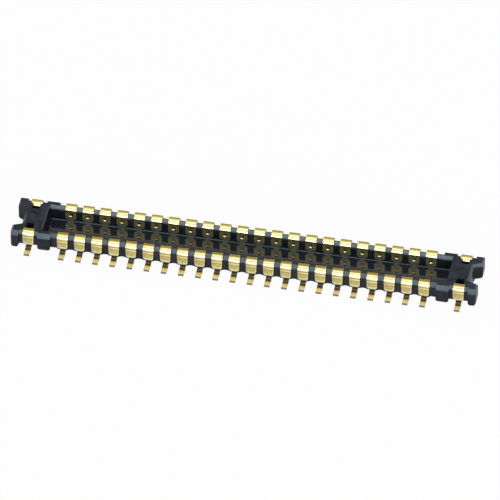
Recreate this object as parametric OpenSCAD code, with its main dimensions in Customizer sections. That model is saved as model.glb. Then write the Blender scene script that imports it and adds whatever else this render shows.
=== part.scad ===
// Low profile board to board header: two rows of formed contacts seated over the
// long walls of a moulded housing, with a hold-down terminal at each corner.
// X runs along the rows, Z is up, and Z = 0 is the underside of the solder feet.

/* [Rows] */
// Number of signal contacts in each row
contacts_per_row = 22; // [4:1:26]
// Distance between the middles of neighbouring contacts
pitch = 0.4; // [0.38:0.01:0.5]
// Distance between the middles of the two rows of arches
row_spacing = 0.985; // [0.96:0.005:1.4]
// Distance from the last contact of a row to the hold-down beside it
hold_down_step = 0.8; // [0.78:0.01:0.9]

/* [Contact strip] */
// Thickness of the strip that the contacts are formed from
strip_t = 0.05; // [0.045:0.001:0.055]
// Width of a contact over its arch
contact_w = 0.25; // [0.22:0.005:0.28]
// Width of a hold-down terminal over its arch
hold_down_w = 0.26; // [0.22:0.005:0.28]
// Distance over the two legs of an arch
arch_w = 0.235; // [0.225:0.001:0.26]
// Height of the top of an arch above the board
arch_top = 0.54; // [0.52:0.005:0.6]
// Outside radius of the two bends of an arch
bend_r = 0.11; // [0.09:0.001:0.112]
// Height of the free end of the outer leg above the board
leg_end_z = 0.17; // [0.16:0.005:0.2]
// How much each side of the outer leg tapers in towards its free end
leg_taper = 0.0125; // [0.005:0.0005:0.02]
// Radius of the rounded corners where a leg ends or narrows
leg_corner_r = 0.055; // [0.03:0.001:0.06]
// Height above the board at which the inner leg narrows to its neck
neck_z = 0.2; // [0.18:0.005:0.22]

/* [Coined panel and detent] */
// Width of the coined panel on the outer leg
panel_w = 0.16; // [0.1:0.005:0.18]
// Height of the coined panel
panel_h = 0.11; // [0.06:0.005:0.13]
// Depth of the coined panel
panel_depth = 0.008; // [0.004:0.001:0.012]
// Height of the lower edge of the coined panel above the free end of the leg
panel_rise = 0.075; // [0.065:0.001:0.09]
// Radius of the corners of the coined panel
panel_corner_r = 0.025; // [0.01:0.001:0.028]
// Radius of the round punch that forms the detent in the inner leg
detent_r = 0.085; // [0.07:0.001:0.09]
// Depth of the detent
detent_depth = 0.025; // [0.01:0.001:0.03]
// Height of the middle of the detent's round lower end above the board
detent_z = 0.345; // [0.32:0.005:0.35]
// Height of the detent's straight stretch
detent_h = 0.02; // [0.01:0.005:0.025]

/* [Tail and solder foot] */
// Width of the neck, the tail and the solder foot
tail_w = 0.13; // [0.1:0.005:0.14]
// Inside radius of the bend from the neck to the tail
tail_bend_r = 0.04; // [0.03:0.001:0.05]
// Height of the tail's underside and of the housing above the board
tail_lift = 0.03; // [0.02:0.001:0.035]
// Distance from the middle of an arch to the tip of its solder foot
tail_reach = 0.3225; // [0.31:0.0025:0.4]
// Length of the flat stretch of the solder foot
foot_l = 0.19; // [0.12:0.005:0.2]
// Slope of the step from the tail down to the foot, in degrees
step_angle = 40; // [30:1:50]

/* [Housing walls] */
// How far the contacts stand proud of the wall on its outer side
proud_outer = 0.04; // [0.03:0.001:0.042]
// How far the contacts stand proud of the wall on the recess side
proud_inner = 0.01; // [0.005:0.001:0.02]
// How far the contacts stand proud of the top of the wall
proud_top = 0.03; // [0.02:0.001:0.035]
// Width and height of the chamfer along both top edges of a wall
wall_chamfer = 0.08; // [0.05:0.001:0.085]
// Thickness of the floor of the recess
floor_t = 0.115; // [0.1:0.005:0.125]
// Radius of the fillet around the floor of the recess
floor_fillet_r = 0.03; // [0.015:0.001:0.035]
// Height of the foot of the walls above the board, past the ends of the rows
wall_foot_z = 0.15; // [0.14:0.001:0.165]
// Height of the foot of a wall above the board, under its row of contacts
row_foot_z = 0.116; // [0.1:0.001:0.125]
// How far the underside slopes inwards below the foot of a wall
under_slope = 0.2; // [0.14:0.005:0.21]
// Width of the scallop in the foot of the wall between two contacts
scallop_w = 0.2; // [0.16:0.005:0.22]
// Height of that scallop
scallop_h = 0.027; // [0.015:0.001:0.035]
// Angle at which a scallop dips as it runs in under the wall, in degrees
scallop_dip = 27; // [24:1:30]

/* [Housing ends] */
// Distance from the last contact to the end of the recess, at its top edge
recess_margin = 0.5; // [0.48:0.005:0.52]
// How far the end wall of the recess slopes in by its floor
recess_draft = 0.05; // [0.02:0.001:0.06]
// Length of the solid block past each end of the recess
block_l = 0.51; // [0.45:0.005:0.6]
// How far the hold-downs stand proud of the top of the block
proud_block = 0.015; // [0.01:0.001:0.02]
// Width and height of the chamfer round the notch, on the end face and the lobes
end_chamfer = 0.07; // [0.04:0.005:0.09]
// Distance by which the corner lobes stand out past the end face
lobe_l = 0.2; // [0.17:0.005:0.3]
// Distance between the end face and the side of a lobe's outer bulge
lobe_step = 0.015; // [0.01:0.001:0.03]
// Width of the notch between the two lobes of one end, at its root
notch_w = 0.48; // [0.4:0.005:0.6]
// Angle at which the inner end of a lobe slants, in degrees
lobe_slant = 22; // [10:1:35]
// How far the lobes and the guard blocks stand out from the wall
guard_reach = 0.08; // [0.05:0.005:0.12]
// Width and height of the small chamfer on the two end edges of a guard block
guard_edge = 0.025; // [0.01:0.005:0.04]
// Width and height of the chamfer on the free end of a lobe
lobe_chamfer = 0.05; // [0.03:0.005:0.06]
// Height of the underside of the lobes and the guard blocks above the board
guard_foot_z = 0.1; // [0.09:0.005:0.12]
// Width and height of the chamfer on the top edges of the lobes and the guard blocks
guard_chamfer = 0.1; // [0.06:0.005:0.11]
// Radius of the lower corners of the lobes and the guard blocks
guard_corner_r = 0.06; // [0.03:0.005:0.07]
// Radius of the upright corners of the lobes
lobe_corner_r = 0.075; // [0.03:0.005:0.08]
// Width of a guard block
guard_w = 0.3; // [0.24:0.005:0.31]
// Distance from the last contact to the middle of the guard block beside it
guard_step = 0.43; // [0.41:0.005:0.44]
// Length of the slot in the block on the inner side of a hold-down
slot_l = 0.12; // [0.1:0.005:0.15]
// Width of that slot
slot_w = 0.18; // [0.15:0.005:0.2]
// Radius of the corners of that slot
slot_corner_r = 0.03; // [0.01:0.005:0.05]
// Diameter of the round ejector mark on each block
mark_d = 0.27; // [0.15:0.01:0.3]
// Depth of the ejector mark
mark_depth = 0.012; // [0.005:0.001:0.02]

/* [Hidden] */
$fn = 48;
// How far every cut runs past the face that it starts from
overrun = 0.1;
housing_colour = [0.15, 0.17, 0.2];
gold_colour = [0.86, 0.74, 0.4];

row_y = row_spacing / 2;
row_half = (contacts_per_row - 1) * pitch / 2;
hold_down_x = row_half + hold_down_step;
arch_half = arch_w / 2;
tail_top = tail_lift + strip_t;

wall_out_y = row_y + arch_half - proud_outer;
wall_in_y = row_y - arch_half + proud_inner;
wall_top = arch_top - proud_top;
block_top = arch_top - proud_block;
floor_z = tail_lift + floor_t;
base_half_w = wall_out_y - under_slope;
recess_half = row_half + recess_margin;
end_face_x = recess_half + block_l;
lobe_end_x = end_face_x + lobe_l;
bulge_x = end_face_x + lobe_step;
guard_y = wall_out_y + guard_reach;
guard_x = row_half + guard_step;
scallop_r = (scallop_w * scallop_w / 4 + scallop_h * scallop_h) / (2 * scallop_h);
scallop_l = under_slope / cos(scallop_dip);
row_foot_half = row_half + contact_w / 2;
// The step down to the foot is two equal and opposite arcs about the strip's middle line
step_r = tail_lift / (2 * (1 - cos(step_angle)));
step_run = 2 * step_r * sin(step_angle);

function two_digits(n) = str(n < 10 ? "0" : "", n);
function contact_name(row, n) = str("contact_", row, "_", two_digits(n));
function contact_x(n) = (n - 1) * pitch - row_half;
ROWS = ["front", "rear"];
SIDES = ["left", "right"];

// Flat shapes

// What a sharp corner at the origin loses when it is rounded to r. The material lies
// on the side of the corner that side_x and side_z give, each 1 or -1.
module corner_waste(r, side_x, side_z) {
    difference() {
        square(2 * r, center = true);
        translate([side_x * r, side_z * r]) circle(r);
    }
}

// A rectangle from x0 to x1 and z0 to z1 whose two upper corners are rounded to r
module crowned(x0, x1, z0, z1, r) {
    difference() {
        translate([x0, z0]) square([x1 - x0, z1 - z0]);
        translate([x0, z1]) corner_waste(r, 1, -1);
        translate([x1, z1]) corner_waste(r, -1, -1);
    }
}

// What an upper right corner at the origin loses to a chamfer of width and height c
module chamfer_waste(c) {
    polygon([[-c - overrun, overrun], [overrun, overrun], [overrun, -c - overrun]]);
}

// A rectangle on the X axis, about its middle, whose two lower corners are rounded to r
module round_footed(w, h, r) {
    difference() {
        translate([-w / 2, 0]) square([w, h]);
        for (side = [-1, 1]) {
            translate([side * w / 2, 0]) corner_waste(r, -side, 1);
        }
    }
}

// Part of a flat ring of the strip's thickness, from one angle to another
module strip_arc(middle_r, from, to) {
    far = 2 * (middle_r + strip_t);
    half = (from + to) / 2;
    intersection() {
        difference() {
            circle(middle_r + strip_t / 2);
            circle(middle_r - strip_t / 2);
        }
        polygon([
            [0, 0],
            [far * cos(from), far * sin(from)],
            [far * cos(half), far * sin(half)],
            [far * cos(to), far * sin(to)]
        ]);
    }
}

// Extrudes a side outline, drawn in Y and Z, along X about the middle
module along_x(w) {
    rotate([90, 0, 90]) linear_extrude(w, center = true) children();
}

// Extrudes a front outline, drawn in X and Z, from one Y to a higher one
module along_y(from, to) {
    translate([0, to, 0]) rotate([90, 0, 0]) linear_extrude(to - from) children();
}

// Contact, drawn with the middle of its arch on the Z axis and its foot towards -Y

module arch_outline() {
    difference() {
        crowned(-arch_half, arch_half, leg_end_z, arch_top, bend_r);
        crowned(strip_t - arch_half, arch_half - strip_t, leg_end_z - overrun,
            arch_top - strip_t, bend_r - strip_t);
    }
}

// The outer leg seen from the front: tapered, with rounded corners at its free end
module outer_leg_front(w) {
    end_w = w - 2 * leg_taper;
    straight_z = arch_top - bend_r;
    difference() {
        polygon([
            [-w / 2, arch_top + overrun],
            [-w / 2, straight_z],
            [-end_w / 2, leg_end_z],
            [end_w / 2, leg_end_z],
            [w / 2, straight_z],
            [w / 2, arch_top + overrun]
        ]);
        for (side = [-1, 1]) {
            translate([side * end_w / 2, leg_end_z]) corner_waste(leg_corner_r, -side, 1);
        }
    }
}

// The inner leg seen from the recess: it narrows to the neck through two rounded corners
module inner_leg_front(w) {
    translate([0, neck_z]) round_footed(w, arch_top + overrun - neck_z, leg_corner_r);
}

// Side outline of the neck, the bend below it, the tail, the step and the solder foot
module tail_outline() {
    bend_middle_r = tail_bend_r + strip_t / 2;
    bend_y = arch_half - strip_t - tail_bend_r;
    bend_z = tail_top + tail_bend_r;
    step_y = foot_l + step_run - tail_reach;
    translate([arch_half - strip_t, bend_z]) square([strip_t, neck_z + leg_corner_r - bend_z]);
    translate([bend_y, bend_z]) strip_arc(bend_middle_r, -90, 0);
    translate([step_y, tail_lift]) square([bend_y - step_y, strip_t]);
    translate([step_y, tail_lift + strip_t / 2 - step_r]) strip_arc(step_r, 90, 90 + step_angle);
    translate([step_y - step_run, strip_t / 2 + step_r]) strip_arc(step_r, 270, 270 + step_angle);
    translate([-tail_reach, 0]) square([foot_l, strip_t]);
}

// The formed strip before coining, which is also the shape of its seat in the housing
module strip_form(w) {
    intersection() {
        along_x(w + overrun) arch_outline();
        union() {
            along_y(-arch_half - overrun, 0) outer_leg_front(w);
            along_y(0, arch_half + overrun) inner_leg_front(w);
        }
    }
    along_x(tail_w) tail_outline();
}

module coined_panel() {
    along_y(-arch_half - overrun, panel_depth - arch_half) {
        translate([0, leg_end_z + panel_rise]) difference() {
            round_footed(panel_w, panel_h, panel_corner_r);
            for (side = [-1, 1]) {
                translate([side * panel_w / 2, panel_h]) corner_waste(panel_corner_r, -side, -1);
            }
        }
    }
}

// A round-ended punch mark: an upright cylinder with a ball at each end
module detent() {
    translate([0, arch_half + detent_r - detent_depth, detent_z]) {
        sphere(detent_r);
        cylinder(h = detent_h, r = detent_r);
        translate([0, 0, detent_h]) sphere(detent_r);
    }
}

module formed_contact(w) {
    color(gold_colour) difference() {
        strip_form(w);
        coined_panel();
        detent();
    }
}

// Puts a piece drawn about its arch at a place in a row, with its foot outwards
module in_row(row, x) {
    if (row == "front") {
        translate([x, -row_y, 0]) children();
    } else {
        translate([x, row_y, 0]) rotate([0, 0, 180]) children();
    }
}

// Housing

// Section of the housing without its recess, from a given foot of its walls to a given top
module housing_outline(foot_z, top) {
    polygon([
        [-base_half_w, tail_lift],
        [base_half_w, tail_lift],
        [wall_out_y, foot_z],
        [wall_out_y, top - wall_chamfer],
        [wall_out_y - wall_chamfer, top],
        [wall_chamfer - wall_out_y, top],
        [-wall_out_y, top - wall_chamfer],
        [-wall_out_y, foot_z]
    ]);
}

// Section of the recess, with the fillets at its floor and the chamfers at its rims
module recess_outline() {
    rim_half = wall_in_y + wall_chamfer + overrun;
    translate([0, floor_z]) round_footed(2 * wall_in_y, wall_top - floor_z, floor_fillet_r);
    polygon([
        [-wall_in_y, wall_top - wall_chamfer],
        [wall_in_y, wall_top - wall_chamfer],
        [rim_half, wall_top + overrun],
        [-rim_half, wall_top + overrun]
    ]);
}

// What the foot of a wall loses past the end of its row
module foot_waste() {
    polygon([
        [base_half_w, tail_lift],
        [wall_out_y, wall_foot_z],
        [wall_out_y + overrun, wall_foot_z],
        [wall_out_y + overrun, tail_lift - overrun],
        [base_half_w, tail_lift - overrun]
    ]);
}

module channel() {
    past_row = recess_half - row_foot_half;
    difference() {
        along_x(2 * recess_half) difference() {
            housing_outline(row_foot_z, wall_top);
            recess_outline();
        }
        at_corners() translate([row_foot_half + past_row, 0, 0]) along_x(2 * past_row) foot_waste();
    }
}

// The sloping end wall of the recess, with its fillet at the floor
module recess_end() {
    foot_x = recess_half - recess_draft;
    along_y(-wall_in_y, wall_in_y) difference() {
        polygon([
            [foot_x - floor_fillet_r, floor_z - floor_fillet_r],
            [foot_x - floor_fillet_r, floor_z + floor_fillet_r],
            [foot_x, floor_z + floor_fillet_r],
            [recess_half, block_top],
            [recess_half, floor_z - floor_fillet_r]
        ]);
        translate([foot_x - floor_fillet_r, floor_z + floor_fillet_r]) circle(floor_fillet_r);
    }
}

// The block past one end of the recess, as far as the bulges of its lobes
module end_block() {
    translate([(recess_half + bulge_x) / 2, 0, 0]) {
        along_x(bulge_x - recess_half) housing_outline(wall_foot_z, block_top);
    }
}

// A block on the outside of the wall, between the last contact and the hold-down
module guard_block() {
    h = block_top - guard_foot_z;
    difference() {
        translate([guard_x, 0, guard_foot_z]) along_y(row_y, guard_y) difference() {
            round_footed(guard_w, h, guard_corner_r);
            for (side = [0, 1]) {
                mirror([side, 0]) translate([guard_w / 2, h]) chamfer_waste(guard_edge);
            }
        }
        translate([guard_x, guard_y, block_top]) {
            along_x(guard_w + overrun) chamfer_waste(guard_chamfer);
        }
    }
}

// One quarter of the lobes' bulge, before the notch parts the two lobes
module corner_lobe() {
    difference() {
        translate([0, 0, guard_foot_z]) linear_extrude(block_top - guard_foot_z) difference() {
            translate([bulge_x, 0]) square([lobe_end_x - bulge_x, guard_y]);
            translate([lobe_end_x, guard_y]) corner_waste(lobe_corner_r, -1, -1);
        }
        translate([lobe_end_x, guard_y, block_top]) {
            along_x(2 * lobe_l + overrun) chamfer_waste(guard_chamfer);
        }
        along_y(-overrun, guard_y + overrun) {
            translate([lobe_end_x, block_top]) chamfer_waste(lobe_chamfer);
            translate([lobe_end_x, guard_foot_z]) corner_waste(guard_corner_r, -1, 1);
        }
        along_y(wall_out_y, guard_y + overrun) {
            translate([bulge_x, guard_foot_z]) corner_waste(guard_corner_r, 1, 1);
        }
    }
}

// The space over a chamfer that starts down from the top at the origin, its material
// lying towards +X, and over everything on the other side as far as a given reach
module over_chamfer(c, reach) {
    polygon([[-reach, -c], [0, -c], [c + overrun, overrun], [-reach, overrun]]);
}

// The space between the chamfers of the end face and of both lobes, above their feet
module notch_rim() {
    root_y = notch_w / 2;
    reach = 2 * guard_y;
    translate([end_face_x, 0, block_top]) intersection() {
        along_y(-guard_y, guard_y) mirror([1, 0]) over_chamfer(end_chamfer, reach);
        translate([0, root_y, 0]) rotate([0, 0, lobe_slant]) {
            along_x(2 * reach) over_chamfer(end_chamfer, reach);
        }
        translate([0, -root_y, 0]) rotate([0, 0, -lobe_slant]) {
            along_x(2 * reach) mirror([1, 0]) over_chamfer(end_chamfer, reach);
        }
    }
}

// The notch between the two lobes of one end, chamfered round its top
module notch() {
    root_y = notch_w / 2;
    reach = lobe_l + overrun;
    mouth_y = root_y + reach * tan(lobe_slant);
    translate([0, 0, -overrun]) linear_extrude(block_top + 2 * overrun) {
        polygon([
            [end_face_x, -root_y],
            [end_face_x + reach, -mouth_y],
            [end_face_x + reach, mouth_y],
            [end_face_x, root_y]
        ]);
    }
    notch_rim();
}

// Each solid at all four corners of the housing
module at_corners() {
    for (side_x = [0, 1]) {
        for (side_y = [0, 1]) {
            mirror([side_x, 0, 0]) mirror([0, side_y, 0]) children();
        }
    }
}

module at_ends() {
    for (side_x = [0, 1]) {
        mirror([side_x, 0, 0]) children();
    }
}

// The scallops in the foot of a wall, one between each two contacts
module scallops() {
    for (n = [1 : contacts_per_row - 1]) {
        for (side = [0, 1]) {
            mirror([0, side, 0]) {
                translate([contact_x(n) + pitch / 2, wall_out_y, row_foot_z + scallop_h]) {
                    rotate([90 + scallop_dip, 0, 0]) translate([0, -scallop_r, -overrun]) {
                        cylinder(h = scallop_l + overrun, r = scallop_r);
                    }
                }
            }
        }
    }
}

// The slot that opens the block on the inner side of a hold-down, as far as the strip
module hold_down_slot() {
    leg_y = row_y - arch_half;
    translate([hold_down_x, leg_y - slot_l, neck_z]) {
        linear_extrude(block_top) round_footed(slot_w, slot_l + strip_t, slot_corner_r);
    }
    translate([hold_down_x - slot_w / 2, leg_y, arch_top - strip_t]) {
        cube([slot_w, bend_r, strip_t]);
    }
}

module ejector_mark() {
    translate([hold_down_x, 0, block_top - mark_depth]) cylinder(h = overrun, d = mark_d);
}

module housing() {
    color(housing_colour) difference() {
        union() {
            channel();
            at_ends() recess_end();
            at_ends() end_block();
            at_corners() guard_block();
            at_corners() corner_lobe();
        }
        at_ends() notch();
        scallops();
        at_corners() hold_down_slot();
        at_ends() ejector_mark();
        for (row = ROWS) {
            for (n = [1 : contacts_per_row]) {
                in_row(row, contact_x(n)) strip_form(contact_w);
            }
            for (side = [-1, 1]) {
                in_row(row, side * hold_down_x) strip_form(hold_down_w);
            }
        }
    }
}

housing();
for (row = ROWS) {
    for (n = [1 : contacts_per_row]) {
        in_row(row, contact_x(n)) formed_contact(contact_w);
    }
    for (side = SIDES) {
        union() {
            in_row(row, (side == "left" ? -1 : 1) * hold_down_x) formed_contact(hold_down_w);
        }
    }
}
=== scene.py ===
"""Looks of a low profile board to board header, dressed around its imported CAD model.

The header lies in the frame's own axes, in metres: X along the two rows of contacts,
Y across them, Z up. The moulded housing and the formed contacts are CAD nodes, which
keep their shape. This script breaks their edges, gives them their finishes, and sets
up the studio and the camera. Lengths are in metres unless a line says otherwise.
"""

import logging
import math
from dataclasses import dataclass, field
from enum import Enum
from typing import Any

import bmesh
import bpy
from mathutils import Matrix, Vector

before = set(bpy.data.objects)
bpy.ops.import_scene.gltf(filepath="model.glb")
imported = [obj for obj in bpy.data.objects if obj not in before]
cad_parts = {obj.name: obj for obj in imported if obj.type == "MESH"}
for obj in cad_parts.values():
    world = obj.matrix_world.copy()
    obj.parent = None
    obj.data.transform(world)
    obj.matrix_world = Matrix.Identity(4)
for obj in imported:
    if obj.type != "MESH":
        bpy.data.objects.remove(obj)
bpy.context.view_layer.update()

logging.basicConfig(level=logging.INFO, format="%(message)s")
log = logging.getLogger("header")

MM = 0.001
MICRON = 1e-6
WHITE = (1.0, 1.0, 1.0)
MIDDLE = 0.5  # the middle level of a noise pattern

# Sockets of a Mix node that blends colours: it has others of the same names.
MIX_FIRST, MIX_SECOND, MIX_RESULT = 6, 7, 2

Triple = tuple[float, float, float]
Colour = tuple[float, float, float]
Band = tuple[float, float]
Stops = tuple[tuple[float, Colour], ...]


class Row(Enum):
    """The two rows of contacts."""

    FRONT = "front"
    REAR = "rear"


class Side(Enum):
    """The two ends of the header."""

    LEFT = "left"
    RIGHT = "right"


class Value:
    """A number that varies over a surface, written as ordinary arithmetic."""

    def __init__(self, graph: "Graph", socket: bpy.types.NodeSocket) -> None:
        """Wraps an output socket.

        Args:
            graph: The graph that new nodes are added to.
            socket: The output that carries the number.
        """
        self.graph = graph
        self.socket = socket

    def _maths(self, operation: str, *inputs: "Value | float") -> "Value":
        """Adds one Math node.

        Args:
            operation: The node's operation.
            inputs: Its numbers or values, in the order of its sockets.

        Returns:
            The node's result.
        """
        sockets = dict(enumerate(inputs))
        node = self.graph.node("ShaderNodeMath", {"operation": operation}, sockets)
        return Value(self.graph, node.outputs[0])

    def __add__(self, other: "Value | float") -> "Value":
        """Adds another value or number."""
        return self._maths("ADD", self, other)

    def __radd__(self, other: "Value | float") -> "Value":
        """Adds this value to a number."""
        return self._maths("ADD", other, self)

    def __sub__(self, other: "Value | float") -> "Value":
        """Takes away another value or number."""
        return self._maths("SUBTRACT", self, other)

    def __rsub__(self, other: "Value | float") -> "Value":
        """Takes this value away from a number."""
        return self._maths("SUBTRACT", other, self)

    def __mul__(self, other: "Value | float") -> "Value":
        """Multiplies by another value or number."""
        return self._maths("MULTIPLY", self, other)

    def __rmul__(self, other: "Value | float") -> "Value":
        """Multiplies a number by this value."""
        return self._maths("MULTIPLY", other, self)

    def __abs__(self) -> "Value":
        """Gives the size without the sign."""
        return self._maths("ABSOLUTE", self, 0.0)

    def at_least(self, other: "Value | float") -> "Value":
        """Gives the larger of this value and another."""
        return self._maths("MAXIMUM", self, other)

    def wrapped(self, span: float) -> "Value":
        """Gives the distance to the nearest whole number of spans, with its sign."""
        return self._maths("WRAP", self, span / 2, -span / 2)

    def ramp(self, low: float, high: float) -> "Value":
        """Turns this value into a smooth step.

        Args:
            low: Where the step starts at 0.
            high: Where the step reaches 1. It may be under low.

        Returns:
            A value from 0 to 1.
        """
        flip = high < low
        start, end = (high, low) if flip else (low, high)
        node = self.graph.node(
            "ShaderNodeMapRange",
            {"interpolation_type": "SMOOTHSTEP"},
            {"Value": self, "From Min": start, "From Max": end},
        )
        step = Value(self.graph, node.outputs["Result"])
        return 1 - step if flip else step


@dataclass(frozen=True)
class Spot:
    """Where a point of the surface lies along the frame's axes."""

    x: Value
    y: Value
    z: Value


@dataclass(frozen=True)
class Pattern:
    """A noise pattern.

    Its cells are counted in a metre along each axis. The detail is the number of finer
    octaves, and the roughness is how strong they are.
    """

    cells: Triple
    detail: float
    roughness: float = 0.5


@dataclass(frozen=True)
class Relief:
    """A fine relief of the surface: the height of a full step, and how much of it shows."""

    depth: float
    strength: float


class Graph:
    """A node tree, built node by node."""

    def __init__(self, tree: bpy.types.NodeTree) -> None:
        """Takes the tree that nodes are added to.

        Args:
            tree: The node tree of a material or a world.
        """
        self.tree = tree

    def node(
        self, kind: str, settings: dict[str, Any], sockets: dict[Any, Any]
    ) -> bpy.types.Node:
        """Adds one node.

        Args:
            kind: The node's type.
            settings: Settings of the node, made before its sockets are filled.
            sockets: Numbers, colours, values or output sockets for its inputs.

        Returns:
            The new node.
        """
        made = self.tree.nodes.new(kind)
        for name, setting in settings.items():
            if name == "stops":
                self._set_stops(made.color_ramp, setting)
            else:
                setattr(made, name, setting)
        for key, filling in sockets.items():
            self.fill(made.inputs[key], filling)
        return made

    def _set_stops(self, ramp: bpy.types.ColorRamp, stops: Stops) -> None:
        """Sets the stops of a colour ramp.

        Args:
            ramp: The ramp, as Blender makes it with two stops.
            stops: Places from 0 to 1, each with its colour.
        """
        while len(ramp.elements) < len(stops):
            ramp.elements.new(1.0)
        for element, (where, colour) in zip(ramp.elements, stops):
            element.position = where
            element.color = (*colour, 1.0)

    def fill(self, socket: bpy.types.NodeSocket, filling: Any) -> None:
        """Sets or links one input.

        Args:
            socket: The input.
            filling: A number, colour, value or output socket.
        """
        if isinstance(filling, Value):
            self.tree.links.new(filling.socket, socket)
        elif isinstance(filling, bpy.types.NodeSocket):
            self.tree.links.new(filling, socket)
        elif isinstance(filling, tuple) and socket.type == "RGBA":
            socket.default_value = (*filling, 1.0)
        else:
            socket.default_value = filling

    def place(self) -> bpy.types.NodeSocket:
        """Gives the Object coordinates, which here are metres in the part's frame."""
        return self.node("ShaderNodeTexCoord", {}, {}).outputs["Object"]

    def spot(self, place: bpy.types.NodeSocket) -> Spot:
        """Splits a place into its three distances.

        Args:
            place: The coordinates.

        Returns:
            X, Y and Z.
        """
        parts = self.node("ShaderNodeSeparateXYZ", {}, {0: place})
        return Spot(*(Value(self, output) for output in parts.outputs))

    def noise(self, place: bpy.types.NodeSocket, pattern: Pattern) -> Value:
        """Adds a noise pattern.

        Args:
            place: The coordinates.
            pattern: The size of its cells and its detail.

        Returns:
            The noise, from 0 to 1.
        """
        scaled = self.node("ShaderNodeMapping", {}, {"Vector": place, "Scale": pattern.cells})
        sockets = {
            "Vector": scaled.outputs[0],
            "Scale": 1.0,
            "Detail": pattern.detail,
            "Roughness": pattern.roughness,
        }
        return Value(self, self.node("ShaderNodeTexNoise", {}, sockets).outputs["Fac"])

    def blend(self, amount: Any, first: Any, second: Any) -> bpy.types.NodeSocket:
        """Mixes two colours.

        Args:
            amount: How much of the second colour shows.
            first: The first colour.
            second: The second colour.

        Returns:
            The mixed colour.
        """
        sockets = {"Factor": amount, MIX_FIRST: first, MIX_SECOND: second}
        return self.node("ShaderNodeMix", {"data_type": "RGBA"}, sockets).outputs[MIX_RESULT]

    def tones(self, distance: Value, stops: Stops) -> bpy.types.NodeSocket:
        """Gives a colour that changes along a distance.

        Args:
            distance: The distance.
            stops: Distances in millimetres, in rising order, each with its colour.

        Returns:
            The colour.
        """
        first, last = stops[0][0], stops[-1][0]
        shares = tuple(((at - first) / (last - first), colour) for at, colour in stops)
        reach = {"Value": distance, "From Min": first * MM, "From Max": last * MM}
        along = self.node("ShaderNodeMapRange", {}, reach).outputs["Result"]
        return self.node("ShaderNodeValToRGB", {"stops": shares}, {0: along}).outputs["Color"]

    def bump(
        self, height: Value, relief: Relief, under: bpy.types.NodeSocket | None = None
    ) -> bpy.types.NodeSocket:
        """Adds surface relief.

        Args:
            height: The relief, from 0 to 1.
            relief: Its depth and strength.
            under: The normal of a relief that this one lies on.

        Returns:
            The normal.
        """
        sockets = {"Strength": relief.strength, "Distance": relief.depth, "Height": height}
        if under is not None:
            sockets["Normal"] = under
        return self.node("ShaderNodeBump", {}, sockets).outputs["Normal"]

    def seen_directly(self) -> Value:
        """Tells the rays that show what stands behind the part from those that light it.

        Returns:
            1 for a ray that shows, and 0 for one that lights.
        """
        rays = self.node("ShaderNodeLightPath", {}, {}).outputs
        kinds = ("Is Camera Ray", "Is Glossy Ray", "Is Transmission Ray")
        camera, glossy, through = (Value(self, rays[kind]) for kind in kinds)
        return camera.at_least(glossy).at_least(through)


class Finish(Graph):
    """The node tree of one material."""

    def __init__(self, name: str) -> None:
        """Starts a material with a Principled shader.

        Args:
            name: The material's name.
        """
        self.material = bpy.data.materials.new(name)
        self.material.use_nodes = True
        super().__init__(self.material.node_tree)
        self.shader = self.tree.nodes["Principled BSDF"]
        self.output = self.tree.nodes["Material Output"]

    def done(self, **sockets: Any) -> bpy.types.Material:
        """Fills the shader's sockets.

        Args:
            sockets: Fillings by socket name, with _ for a space.

        Returns:
            The material.
        """
        for name, filling in sockets.items():
            self.fill(self.shader.inputs[name.replace("_", " ")], filling)
        return self.material


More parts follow.
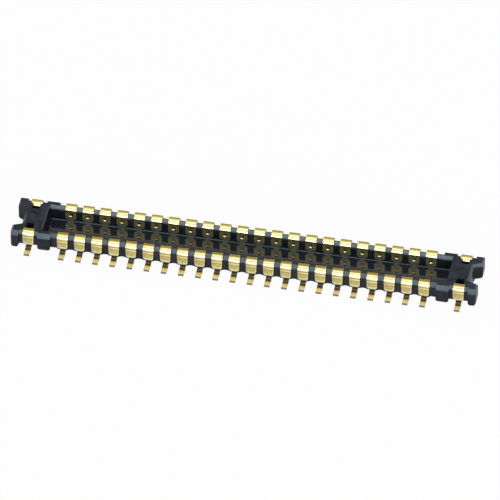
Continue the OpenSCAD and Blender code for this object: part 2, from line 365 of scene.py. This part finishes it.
@dataclass(frozen=True)
class MouldedPlastic:
    """Black glass-filled moulding plastic: a satin skin with flow marks and a fine grain.

    The floor of the recess is polished. Its fillet, the chamfers of the walls and the lip
    of the left block are paler with painted highlights.
    """

    name: str = "moulded_plastic"

    # Colours of the skin and of the places that are paler: haze, rubbed speckle and floor skin
    # are the plastic's own tones, and the chamfer, fillet and lip colours are painted
    # highlights.
    skin: Colour = (0.0045, 0.0070, 0.0115)
    flow: Colour = (0.0180, 0.0225, 0.0310)
    haze: Colour = (0.0240, 0.0330, 0.0560)
    rubbed: Colour = (0.030, 0.036, 0.044)
    chamfer_highlight: Colour = (0.108, 0.138, 0.158)
    inner_chamfer_highlight: Colour = (0.160, 0.190, 0.215)
    floor_skin: Colour = (0.020, 0.027, 0.037)
    fillet_highlight: Colour = (0.100, 0.120, 0.135)
    lip_highlight: Colour = (0.120, 0.130, 0.140)

    # Patterns, the levels between which each one shows, and how much of it shows.
    flow_marks: Pattern = Pattern((900.0, 2600.0, 2600.0), 3.0, 0.6)
    flow_band: Band = (0.38, 0.68)
    flow_share: float = 0.55
    mottling: Pattern = Pattern((9000.0, 12000.0, 12000.0), 2.0)
    mottle_band: Band = (0.40, 0.65)
    mottle_share: float = 0.45
    clouding: Pattern = Pattern((3500.0, 3500.0, 3500.0), 1.0)
    cloud_band: Band = (0.40, 0.62)
    cloud_share: float = 0.75
    graining: Pattern = Pattern((70000.0, 70000.0, 70000.0), 2.0)
    speckle_band: Band = (0.62, 0.78)
    speckle_share: float = 0.5
    # The patch band and share break up the chamfers' painted highlight, the lip's share sets
    # the strength of its painted highlight, and the shade share holds the chamfers' painted
    # highlight back on the left end.
    patch_band: Band = (0.35, 0.70)
    patch_share: float = 0.25
    floor_share: float = 0.6
    lip_highlight_share: float = 0.8
    shade_share: float = 0.85

    # Gloss.
    ior: float = 1.5
    specular: float = 0.16
    roughness: float = 0.38
    roughness_swing: float = 0.10
    floor_roughness: float = 0.15
    floor_swing: float = 0.06
    floor_polish: float = 1.0
    front_polish: float = 0.15
    polish_roughness: float = 0.07
    polish_ior: float = 1.62

    # Relief.
    grain_relief: Relief = Relief(1.2 * MICRON, 0.35)
    mottle_relief: Relief = Relief(3.0 * MICRON, 0.25)
    floor_flatness: float = 0.8

    # Places on the housing.
    fade: float = 0.01 * MM
    recess_half_w: float = 0.374 * MM
    recess_half_l: float = 4.69 * MM
    floor_top: float = 0.165 * MM
    mirror_from: float = 0.01 * MM
    mirror_to: float = 0.10 * MM
    fillet_y: float = 0.355 * MM
    fillet_foot: float = 0.147 * MM
    fillet_head: float = 0.165 * MM
    chamfer_foot: float = 0.45 * MM
    chamfer_head: float = 0.505 * MM
    foot_drop: float = 0.018 * MM
    head_rise: float = 0.03 * MM
    inner_to: float = 0.46 * MM
    outer_from: float = 0.545 * MM
    end_chamfer_x: float = 5.14 * MM
    block_top: float = 0.525 * MM
    lip_half_w: float = 0.008 * MM
    shade_from: float = -0.35 * MM

    def _in_recess(self, spot: Spot) -> Value:
        """Marks the floor of the recess.

        Args:
            spot: Where the point lies.

        Returns:
            1 on the floor, and 0 elsewhere.
        """
        return (
            spot.z.ramp(self.floor_top + 3 * self.fade, self.floor_top)
            * abs(spot.y).ramp(self.recess_half_w, self.recess_half_w - self.fade)
            * abs(spot.x).ramp(self.recess_half_l, self.recess_half_l - self.fade)
        )

    def _fillet_highlight_mask(self, spot: Spot) -> Value:
        """Marks the painted highlight on the fillet between the floor of the recess and its
        long walls.

        Args:
            spot: Where the point lies.

        Returns:
            1 on the fillet, and 0 elsewhere.
        """
        fade = self.fade
        return (
            spot.z.ramp(self.fillet_foot, self.fillet_foot + fade / 2)
            * spot.z.ramp(self.fillet_head + fade, self.fillet_head)
            * abs(spot.y).ramp(self.fillet_y - fade, self.fillet_y)
            * abs(spot.y).ramp(self.recess_half_w + 2 * fade, self.recess_half_w + fade)
            * abs(spot.x).ramp(self.recess_half_l + 2 * fade, self.recess_half_l + fade)
        )

    def _lip_highlight_mask(self, spot: Spot) -> Value:
        """Marks the painted highlight along the lip of the left block, over the end of the
        recess.

        Args:
            spot: Where the point lies.

        Returns:
            1 on the lip, and 0 elsewhere.
        """
        off_lip = abs(abs(spot.x) - self.recess_half_l - self.fade)
        return (
            off_lip.ramp(2 * self.lip_half_w, self.lip_half_w)
            * spot.z.ramp(self.block_top - 2 * self.fade, self.block_top - self.fade)
            * abs(spot.y).ramp(self.recess_half_w, self.recess_half_w - self.fade)
            * spot.x.ramp(0.0, -self.fade)
        )

    def _chamfer_highlight_mask(self, spot: Spot, off_inner: Value, at_end: Value, mottle: Value) -> Value:
        """Marks the painted highlight on the chamfers of the walls, lobes and guard blocks.

        Args:
            spot: Where the point lies.
            off_inner: 0 on the inner side of a wall's top, and 1 beyond it.
            at_end: 1 past the chamfered ends of the blocks.
            mottle: The pattern that breaks up the chamfers' painted highlight.

        Returns:
            How much of the chamfers' painted highlight shows.
        """
        fade = self.fade
        off_top = abs(spot.y).ramp(self.recess_half_w, self.recess_half_w + fade)
        outside = abs(spot.y).ramp(self.outer_from, self.outer_from + 2 * fade)
        over_foot = spot.z + off_inner * self.foot_drop
        under_head = spot.z - outside * self.head_rise
        marked = (
            over_foot.ramp(self.chamfer_foot - 2 * fade, self.chamfer_foot + 2 * fade)
            * under_head.ramp(self.chamfer_head + fade, self.chamfer_head)
            * (1 - (1 - off_top) * (1 - at_end))
        )
        # Painted shade on the left end's blocks: it holds their chamfers' painted highlight
        # back.
        in_shade = (
            spot.x.ramp(0.0, -fade)
            * spot.y.ramp(self.shade_from, self.shade_from + 5 * fade)
            * at_end
        )
        patches = 1 - self.patch_share + mottle.ramp(*self.patch_band) * self.patch_share
        return marked * (1 - in_shade * self.shade_share) * patches

    def _colour(
        self, graph: Finish, spot: Spot, flow: Value, mottle: Value, cloud: Value, grain: Value
    ) -> bpy.types.NodeSocket:
        """Lays the colours over each other, with painted highlights on the fillet, chamfers and
        lip.

        Args:
            graph: The material's graph.
            spot: Where the point lies.
            flow: The pattern of the flow marks.
            mottle: The pattern of the mottling.
            cloud: The pattern of the haze on the blocks' tops.
            grain: The pattern of the fine grain.

        Returns:
            The colour.
        """
        fade = self.fade
        in_recess = self._in_recess(spot)
        at_end = abs(spot.x).ramp(self.end_chamfer_x - fade, self.end_chamfer_x)
        off_inner = abs(spot.y).ramp(self.inner_to, self.inner_to + 2 * fade)
        on_inner = (1 - off_inner) * spot.y.ramp(0.0, fade) * (1 - at_end)
        # Painted highlight on the chamfers, paler on the inner side of the walls.
        chamfer_highlight_amount = self._chamfer_highlight_mask(spot, off_inner, at_end, mottle)
        chamfer_highlight = graph.blend(on_inner, self.chamfer_highlight, self.inner_chamfer_highlight)
        on_top = spot.z.ramp(self.chamfer_head, self.chamfer_head + fade)
        marks = (
            flow.ramp(*self.flow_band) * self.flow_share
            + mottle.ramp(*self.mottle_band) * self.mottle_share
        )
        clouds = on_top * cloud.ramp(*self.cloud_band) * self.cloud_share
        speckle = grain.ramp(*self.speckle_band) * self.speckle_share * (1 - in_recess)
        colour = graph.blend(marks, self.skin, self.flow)
        colour = graph.blend(in_recess * self.floor_share, colour, self.floor_skin)
        colour = graph.blend(clouds, colour, self.haze)
        # Painted highlights on the fillet, the chamfers and the lip.
        colour = graph.blend(self._fillet_highlight_mask(spot), colour, self.fillet_highlight)
        colour = graph.blend(chamfer_highlight_amount, colour, chamfer_highlight)
        colour = graph.blend(self._lip_highlight_mask(spot) * self.lip_highlight_share, colour, self.lip_highlight)
        return graph.blend(speckle, colour, self.rubbed)

    def build(self) -> bpy.types.Material:
        """Makes the material.

        Returns:
            The material.
        """
        graph = Finish(self.name)
        place = graph.place()
        spot = graph.spot(place)
        flow = graph.noise(place, self.flow_marks)
        mottle = graph.noise(place, self.mottling)
        grain = graph.noise(place, self.graining)
        cloud = graph.noise(place, self.clouding)
        in_recess = self._in_recess(spot)
        satin = (
            self.roughness
            + (mottle - MIDDLE) * self.roughness_swing
            + (flow - MIDDLE) * self.roughness_swing
        )
        floor = self.floor_roughness + (mottle - MIDDLE) * self.floor_swing
        rear_polish = self.floor_polish - self.front_polish
        polish = self.front_polish + spot.y.ramp(self.mirror_from, self.mirror_to) * rear_polish
        grains = graph.bump(grain * (1 - in_recess * self.floor_flatness), self.grain_relief)
        return graph.done(
            Base_Color=self._colour(graph, spot, flow, mottle, cloud, grain),
            Roughness=satin * (1 - in_recess) + floor * in_recess,
            Specular_IOR_Level=self.specular,
            IOR=self.ior,
            Normal=graph.bump(mottle, self.mottle_relief, grains),
            Coat_Weight=in_recess * polish,
            Coat_Roughness=self.polish_roughness,
            Coat_IOR=self.polish_ior,
        )


@dataclass(frozen=True)
class GoldPlating:
    """Gold over nickel on formed strip.

    Its colour carries painted light and shade: painted highlights make it paler on the bends,
    painted shade makes it deeper low on the legs, under the bends, on the bends that face the
    rear, over the detents and in the coined panels, and it is dull on the tails, which carry
    painted shade under the walls and at their tips. Each list of tones gives colours at
    heights above the board, or for the tails at distances from the header's middle, in
    millimetres.
    """

    name: str = "gold_plating"

    # Tones of the arch and the outer leg, of the inner leg, and of the tail and foot: gold and
    # nickel colours with painted highlights and painted shade laid in along them.
    arch_tones_with_painted_light: Stops = (
        # Painted shade at the foot of the outer leg, then a painted highlight along its lower
        # edge.
        (0.17, (0.44, 0.46, 0.38)),
        (0.205, (0.94, 0.96, 0.74)),
        (0.24, (1.00, 0.92, 0.44)),
        (0.285, (0.92, 0.77, 0.32)),
        # Painted shade over the coined panel.
        (0.33, (0.55, 0.46, 0.20)),
        (0.38, (0.96, 0.81, 0.30)),
        (0.402, (0.96, 0.81, 0.30)),
        # Painted shadow: a dark line under the outer bend.
        (0.420, (0.34, 0.27, 0.08)),
        (0.433, (0.34, 0.28, 0.10)),
        # Painted highlight: the pale band on the outer bend.
        (0.446, (0.97, 0.94, 0.78)),
        (0.466, (0.95, 0.92, 0.62)),
        (0.490, (0.91, 0.85, 0.38)),
        (0.54, (0.83, 0.70, 0.28)),
    )
    inner_leg_tones_with_painted_light: Stops = (
        # Painted shade low on the inner leg, near the floor of the recess.
        (0.17, (0.46, 0.52, 0.38)),
        (0.26, (0.58, 0.57, 0.33)),
        (0.30, (0.85, 0.74, 0.28)),
        (0.40, (0.85, 0.70, 0.24)),
        # Painted highlight at the top of the inner leg, under the bend.
        (0.43, (1.00, 0.94, 0.50)),
    )
    tail_tones_with_painted_shade: Stops = (
        # Dull nickel band where the tail runs under the wall, darkened with painted shade.
        (0.40, (0.08, 0.08, 0.062)),
        (0.590, (0.08, 0.08, 0.062)),
        # Painted shade as a dark band under the outer leg, where the tail steps down.
        (0.612, (0.030, 0.022, 0.008)),
        (0.654, (0.10, 0.062, 0.008)),
        (0.674, (0.56, 0.39, 0.09)),
        (0.696, (1.00, 0.79, 0.25)),
        (0.765, (1.00, 0.84, 0.33)),
        (0.795, (1.00, 0.88, 0.40)),
        # Painted shade at the end of the foot.
        (0.807, (0.60, 0.53, 0.28)),
        (0.815, (0.14, 0.125, 0.075)),
    )

    # Colours of painted shade: on the bends that face the rear (the streaks use this colour
    # too), over the detents' highlight, in the coined panels and along their steps, and down
    # the outer legs' left sides.
    far_bend_shade_and_streaks: Colour = (0.30, 0.21, 0.07)
    detent_shade: Colour = (0.23, 0.22, 0.14)
    panel_and_side_shade: Colour = (0.44, 0.38, 0.18)
    panel_step_shade: Colour = (0.26, 0.21, 0.09)
    panel_shade_share: float = 0.6
    step_shade_share: float = 0.5
    side_shade_share: float = 0.6
    detent_shade_share: float = 0.8

    # Patterns, the levels between which each one shows, and how much of it shows.
    unevenness: Pattern = Pattern((2600.0, 500.0, 500.0), 1.0)
    uneven_band: Band = (0.35, 0.65)
    draw_lines: Pattern = Pattern((60000.0, 5000.0, 5000.0), 2.0)
    drawn_band: Band = (0.35, 0.7)
    graining: Pattern = Pattern((42000.0, 42000.0, 42000.0), 3.0, 0.6)
    grain_band: Band = (0.5, 0.75)
    streak_share: float = 0.10

    # Gloss and relief.
    roughness: float = 0.17
    drawn_swing: float = 0.12
    grain_swing: float = 0.10
    dull_roughness: float = 0.48
    foot_metal: float = 0.22
    line_relief: Relief = Relief(1.0 * MICRON, 0.25)
    grain_relief: Relief = Relief(0.8 * MICRON, 0.35)

    # Places on a contact.
    fade: float = 0.008 * MM
    row_y: float = 0.4925 * MM
    pitch: float = 0.4 * MM
    tail_top: float = 0.12 * MM
    leg_top: float = 0.43 * MM
    leg_face: float = 0.60 * MM
    # side_from and side_to bound the painted shade down the outer leg's left side, far_from and
    # far_to the painted shade on the far bend, and detent_z and detent_r the painted shade over
    # the detent.
    side_from: float = 0.03 * MM
    side_to: float = -0.12 * MM
    far_from: float = 0.088 * MM
    far_to: float = 0.007 * MM
    rear_shift: float = 0.031 * MM
    detent_z: float = 0.318 * MM
    detent_r: float = 0.050 * MM
    panel_half_w: float = 0.08 * MM
    panel_foot: float = 0.245 * MM
    panel_head: float = 0.355 * MM

    def _inside_panel(self, across: Value, z: Value, inset: float) -> Value:
        """Marks the coined panel of a leg, shrunk by an inset.

        Args:
            across: Distance from the middle of the contact.
            z: Height above the board.
            inset: How far inside the panel's outline the step to 1 lies.

        Returns:
            1 inside, and 0 outside.
        """
        soft = self.fade / 2
        half_w = self.panel_half_w - inset
        foot, head = self.panel_foot + inset, self.panel_head - inset
        return (
            across.ramp(half_w + soft, half_w - soft)
            * z.ramp(foot - soft, foot + soft)
            * z.ramp(head + soft, head - soft)
        )

    def _bend_colour(self, graph: Finish, spot: Spot, across: Value) -> bpy.types.NodeSocket:
        """Lays the tones of the arch and the inner leg, with painted light and shade in them,
        painted shade over its detent's highlight and painted shade on its far bend.

        Args:
            graph: The material's graph.
            spot: Where the point lies.
            across: Distance from the middle of the contact.

        Returns:
            The colour.
        """
        fade, leg_top = self.fade, self.leg_top
        rear = spot.y.ramp(-fade, fade)
        off_arch = spot.y + self.row_y - rear * (2 * self.row_y + self.rear_shift)
        under_arch = spot.z.ramp(leg_top + fade, leg_top - fade)
        over_leg = spot.z.ramp(leg_top - fade, leg_top + fade)
        on_inner_leg = abs(spot.y).ramp(self.row_y, self.row_y - fade) * under_arch
        # Painted shade on the bend that faces the rear.
        far_bend_shade_mask = off_arch.ramp(-self.far_from, self.far_to) * over_leg
        # Painted shade that dims the detent's highlight, strongest in a thin strip down its
        # middle.
        detent_shade_mask = (
            on_inner_leg
            * across.ramp(self.detent_r, self.detent_r - fade)
            * abs(spot.z - self.detent_z).ramp(self.detent_r, self.detent_r - fade)
        )
        detent_shade_amount = self.detent_shade_share + across.ramp(2 * fade, fade) * (1 - self.detent_shade_share)
        arch = graph.tones(spot.z, self.arch_tones_with_painted_light)
        colour = graph.blend(on_inner_leg, arch, graph.tones(spot.z, self.inner_leg_tones_with_painted_light))
        colour = graph.blend(detent_shade_mask * detent_shade_amount, colour, self.detent_shade)
        return graph.blend(far_bend_shade_mask, colour, self.far_bend_shade_and_streaks)

    def _leg_colour(
        self, graph: Finish, spot: Spot, colour: bpy.types.NodeSocket
    ) -> bpy.types.NodeSocket:
        """Lays painted shade over a colour: in the outer leg's coined panel, along the panel's
        step and down the leg's left side.

        Args:
            graph: The material's graph.
            spot: Where the point lies.
            colour: The colour so far.

        Returns:
            The colour.
        """
        fade = self.fade
        along = (spot.x - self.pitch / 2).wrapped(self.pitch)
        across = abs(along)
        on_face = abs(spot.y).ramp(self.leg_face - fade, self.leg_face)
        in_panel = self._inside_panel(across, spot.z, fade / 2) * on_face
        outline = self._inside_panel(across, spot.z, -1.5 * fade)
        on_step = (outline - self._inside_panel(across, spot.z, fade)) * on_face
        left_side_shade = along.ramp(self.side_from, self.side_to) * on_face
        # Painted shade in the coined panel, along its step, and down the leg's left side as if
        # lit from the right.
        colour = graph.blend(in_panel * self.panel_shade_share, colour, self.panel_and_side_shade)
        colour = graph.blend(on_step * self.step_shade_share, colour, self.panel_step_shade)
        return graph.blend(left_side_shade * self.side_shade_share, colour, self.panel_and_side_shade)

    def build(self) -> bpy.types.Material:
        """Makes the material.

        Returns:
            The material.
        """
        graph = Finish(self.name)
        place = graph.place()
        spot = graph.spot(place)
        uneven = graph.noise(place, self.unevenness)
        drawn = graph.noise(place, self.draw_lines)
        grain = graph.noise(place, self.graining)
        across = abs((spot.x - self.pitch / 2).wrapped(self.pitch))
        on_tail = spot.z.ramp(self.tail_top + self.fade, self.tail_top - self.fade)
        streaks = (
            uneven.ramp(*self.uneven_band) * self.streak_share
            + drawn.ramp(*self.drawn_band) * self.streak_share
            + grain.ramp(*self.grain_band) * self.streak_share
        )
        colour = self._bend_colour(graph, spot, across)
        colour = self._leg_colour(graph, spot, colour)
        colour = graph.blend(on_tail, colour, graph.tones(abs(spot.y), self.tail_tones_with_painted_shade))
        rough = (
            self.roughness
            + (drawn - MIDDLE) * self.drawn_swing
            + (grain - MIDDLE) * self.grain_swing
        )
        lines = graph.bump(drawn, self.line_relief)
        return graph.done(
            Base_Color=graph.blend(streaks, colour, self.far_bend_shade_and_streaks),
            Metallic=1 - on_tail * (1 - self.foot_metal),
            Roughness=rough * (1 - on_tail) + self.dull_roughness * on_tail,
            Normal=graph.bump(grain, self.grain_relief, lines),
        )


@dataclass(frozen=True)
class PaleSweep:
    """The plain pale table, which stays white to the camera and keeps a faint shadow."""

    name: str = "pale_table"
    shade: Colour = (0.86, 0.86, 0.86)
    plain_share: float = 0.95
    roughness: float = 0.9
    specular: float = 0.1

    def build(self) -> bpy.types.Material:
        """Makes the material.

        Returns:
            The material.
        """
        graph = Finish(self.name)
        graph.done(
            Base_Color=self.shade, Roughness=self.roughness, Specular_IOR_Level=self.specular
        )
        glow = graph.node("ShaderNodeEmission", {}, {"Color": WHITE, "Strength": 1.0})
        share = graph.seen_directly() * self.plain_share
        sockets = {0: share, 1: graph.shader.outputs[0], 2: glow.outputs[0]}
        mix = graph.node("ShaderNodeMixShader", {}, sockets)
        graph.fill(graph.output.inputs["Surface"], mix.outputs[0])
        return graph.material


@dataclass(frozen=True)
class BrokenEdge:
    """The small radius that breaks a piece's sharp edges."""

    width: float
    strips: int = 2
    from_angle: float = math.radians(38)
    join_within: float = 0.2 * MICRON

    def cut(self, piece: bpy.types.Object) -> None:
        """Joins the corners of a CAD piece's loose triangles and breaks its edges.

        Args:
            piece: The piece's object.
        """
        weld = piece.modifiers.new("joined corners", "WELD")
        weld.merge_threshold = self.join_within
        bevel = piece.modifiers.new("broken edges", "BEVEL")
        bevel.width = self.width
        bevel.segments = self.strips
        bevel.limit_method = "ANGLE"
        bevel.angle_limit = self.from_angle
        bevel.use_clamp_overlap = True
        bevel.harden_normals = False


def dress(node: str, material: bpy.types.Material, edge: BrokenEdge) -> None:
    """Gives a CAD node its material and breaks its sharp edges.

    Args:
        node: The node's name.
        material: Its finish.
        edge: How its edges are broken.
    """
    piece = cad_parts[node]
    piece.data.materials.clear()
    piece.data.materials.append(material)
    edge.cut(piece)


@dataclass
class Housing:
    """The moulded housing: two long walls, a recess between them and a block at each end."""

    finish: MouldedPlastic = field(default_factory=MouldedPlastic)
    node: str = "housing"
    edge: BrokenEdge = BrokenEdge(0.012 * MM)

    def build(self) -> None:
        """Dresses the housing's node."""
        dress(self.node, self.finish.build(), self.edge)
        log.info("%s: moulded plastic", self.node)


@dataclass
class PlatedStrips:
    """Pieces that are formed from plated strip."""

    plating: bpy.types.Material
    edge: BrokenEdge = BrokenEdge(0.006 * MM)

    def names(self) -> list[str]:
        """Gives the names of the pieces' nodes."""
        raise NotImplementedError

    def build(self) -> None:
        """Dresses the nodes."""
        for name in self.names():
            dress(name, self.plating, self.edge)
            log.info("%s: gold plated strip", name)


@dataclass
class Contacts(PlatedStrips):
    """The two rows of signal contacts."""

    per_row: int = 22

    def names(self) -> list[str]:
        """Gives the names of the contacts' nodes, row by row."""
        numbers = range(1, self.per_row + 1)
        return [f"contact_{row.value}_{number:02d}" for row in Row for number in numbers]


@dataclass
class HoldDowns(PlatedStrips):
    """The four terminals at the corners, which hold the header to its board."""

    def names(self) -> list[str]:
        """Gives the names of the hold-downs' nodes, row by row."""
        return [f"hold_down_{row.value}_{side.value}" for row in Row for side in Side]


@dataclass(frozen=True)
class Lamp:
    """A soft rectangular lamp that faces the part.

    Its azimuth and elevation are in degrees, and a radiance of 1 is plain white.
    """

    name: str
    azimuth: float
    elevation: float
    distance: float
    width: float
    height: float
    radiance: float


@dataclass
class Studio:
    """The pale table, the soft lamps and the camera at the photograph's angle."""

    table_width: float = 1.2
    table_drop: float = 0.002 * MM
    world_level: float = 0.55
    lamps: tuple[Lamp, ...] = (
        Lamp("low front panel", 5.0, 15.5, 0.40, 0.56, 0.21, 3.2),
        Lamp("overhead panel", 0.0, 84.0, 0.60, 0.60, 0.40, 1.00),
    )
    azimuth: float = math.radians(10.903)
    elevation: float = math.radians(42.3)
    distance: float = 263.39 * MM
    aside: float = 0.05628 * MM
    above: float = 0.23463 * MM
    sensor_mm: float = 36.0
    lens_mm: float = 828.905
    clip_start: float = 0.01
    clip_end: float = 10.0

    def _direction(self, azimuth: float, elevation: float) -> Vector:
        """Gives the direction from the part towards a viewer.

        Args:
            azimuth: Turn round the part, in radians; 0 is in front of it.
            elevation: Height above the table, in radians.

        Returns:
            A unit vector.
        """
        return Vector((
            math.sin(azimuth) * math.cos(elevation),
            -math.cos(azimuth) * math.cos(elevation),
            math.sin(elevation),
        ))

    def _table(self) -> None:
        """Makes the table, a little way under the solder feet."""
        mesh = bpy.data.meshes.new("table")
        shape = bmesh.new()
        lowered = Matrix.Translation((0.0, 0.0, -self.table_drop))
        bmesh.ops.create_grid(
            shape, x_segments=1, y_segments=1, size=self.table_width / 2, matrix=lowered
        )
        shape.to_mesh(mesh)
        shape.free()
        table = bpy.data.objects.new("table", mesh)
        bpy.context.scene.collection.objects.link(table)
        table.data.materials.append(PaleSweep().build())

    def _hang(self, lamp: Lamp) -> None:
        """Hangs one lamp.

        Args:
            lamp: Its place, size and radiance.
        """
        light = bpy.data.lights.new(lamp.name, "AREA")
        light.shape = "RECTANGLE"
        light.size = lamp.width
        light.size_y = lamp.height
        light.energy = lamp.radiance * math.pi * lamp.width * lamp.height
        hung = bpy.data.objects.new(lamp.name, light)
        bpy.context.scene.collection.objects.link(hung)
        towards = self._direction(math.radians(lamp.azimuth), math.radians(lamp.elevation))
        hung.location = towards * lamp.distance
        hung.rotation_euler = towards.to_track_quat("Z", "Y").to_euler()
        hung.visible_camera = False

    def _room(self) -> None:
        """Fills the room with even light, and stands a white room behind the part."""
        world = bpy.data.worlds.new("room")
        world.use_nodes = True
        graph = Graph(world.node_tree)
        level = self.world_level + graph.seen_directly() * (1.0 - self.world_level)
        background = world.node_tree.nodes["Background"]
        graph.fill(background.inputs["Color"], WHITE)
        graph.fill(background.inputs["Strength"], level)
        bpy.context.scene.world = world

    def _camera(self) -> None:
        """Places the camera as the photograph was taken."""
        data = bpy.data.cameras.new("camera")
        data.sensor_width = self.sensor_mm
        data.lens = self.lens_mm
        data.clip_start = self.clip_start
        data.clip_end = self.clip_end
        camera = bpy.data.objects.new("camera", data)
        bpy.context.scene.collection.objects.link(camera)
        back = self._direction(self.azimuth, self.elevation)
        right = Vector((math.cos(self.azimuth), math.sin(self.azimuth), 0.0))
        up = back.cross(right)
        camera.location = back * self.distance + right * self.aside + up * self.above
        camera.rotation_mode = "QUATERNION"
        camera.rotation_quaternion = Matrix((right, up, back)).transposed().to_quaternion()
        bpy.context.scene.camera = camera

    def build(self) -> None:
        """Sets the stage."""
        self._table()
        self._room()
        for lamp in self.lamps:
            self._hang(lamp)
        self._camera()
        bpy.context.scene.view_settings.view_transform = "Standard"
        log.info("studio: table, %d soft lamps and the camera", len(self.lamps))


def main() -> None:
    """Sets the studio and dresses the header."""
    Studio().build()
    Housing().build()
    gold = GoldPlating().build()
    Contacts(gold).build()
    HoldDowns(gold).build()


if __name__ == "__main__":
    main()
